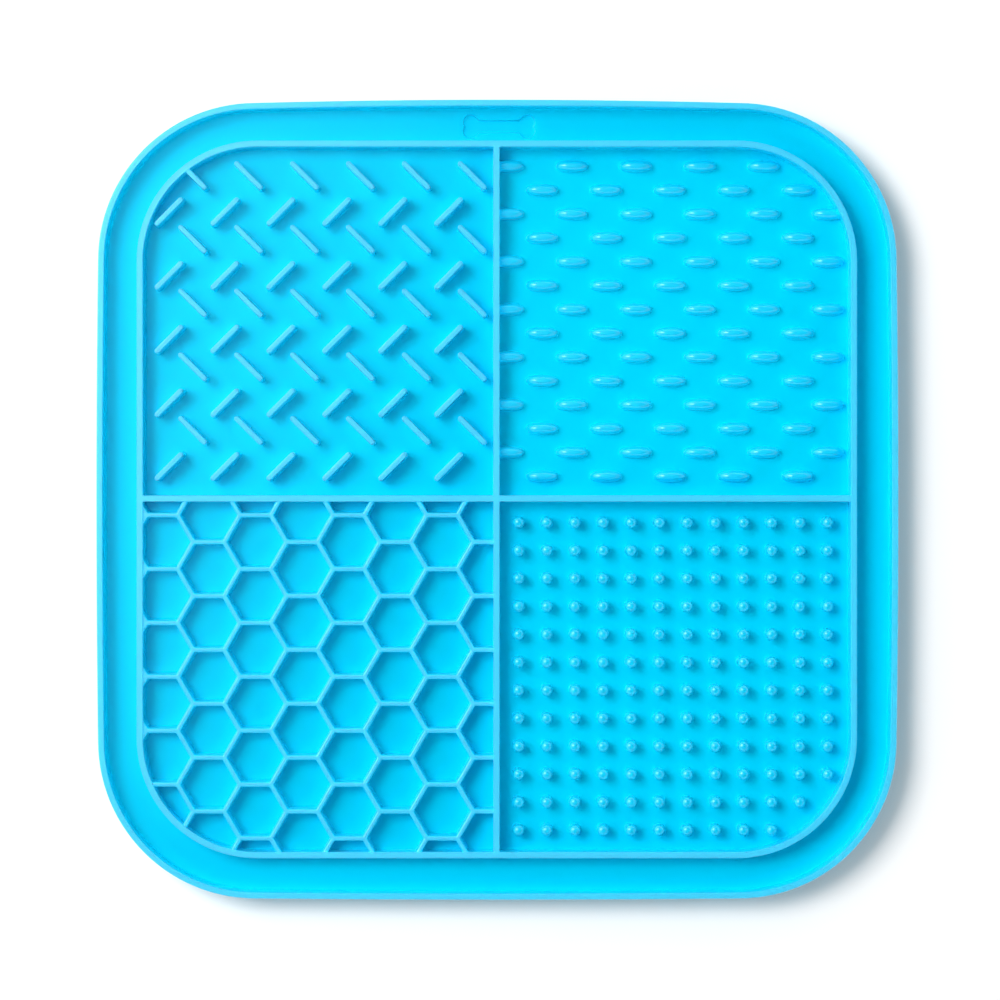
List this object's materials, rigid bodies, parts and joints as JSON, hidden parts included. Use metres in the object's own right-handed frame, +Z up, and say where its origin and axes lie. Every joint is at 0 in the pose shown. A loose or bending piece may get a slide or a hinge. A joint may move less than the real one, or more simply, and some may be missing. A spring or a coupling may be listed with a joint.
{
  "type": "lick mat",
  "caption": "Square moulded rubber feeding mat with a rim, a channel around an inner frame, and four pockets of ribs, ovals, honeycomb and nubs.",
  "frame": {"origin": "middle of the underside", "axes": "+Z up out of the pattern, +X to the right and +Y away from the viewer, with the bone in the channel at +Y and the zigzag ribs at -X +Y"},
  "size_m": [0.2, 0.1994, 0.01],
  "materials": {
    "silicone": "satin, softly see-through cyan silicone rubber"
  },
  "bodies": {
    "root": {"mat": "silicone"}
  },
  "joints": []
}
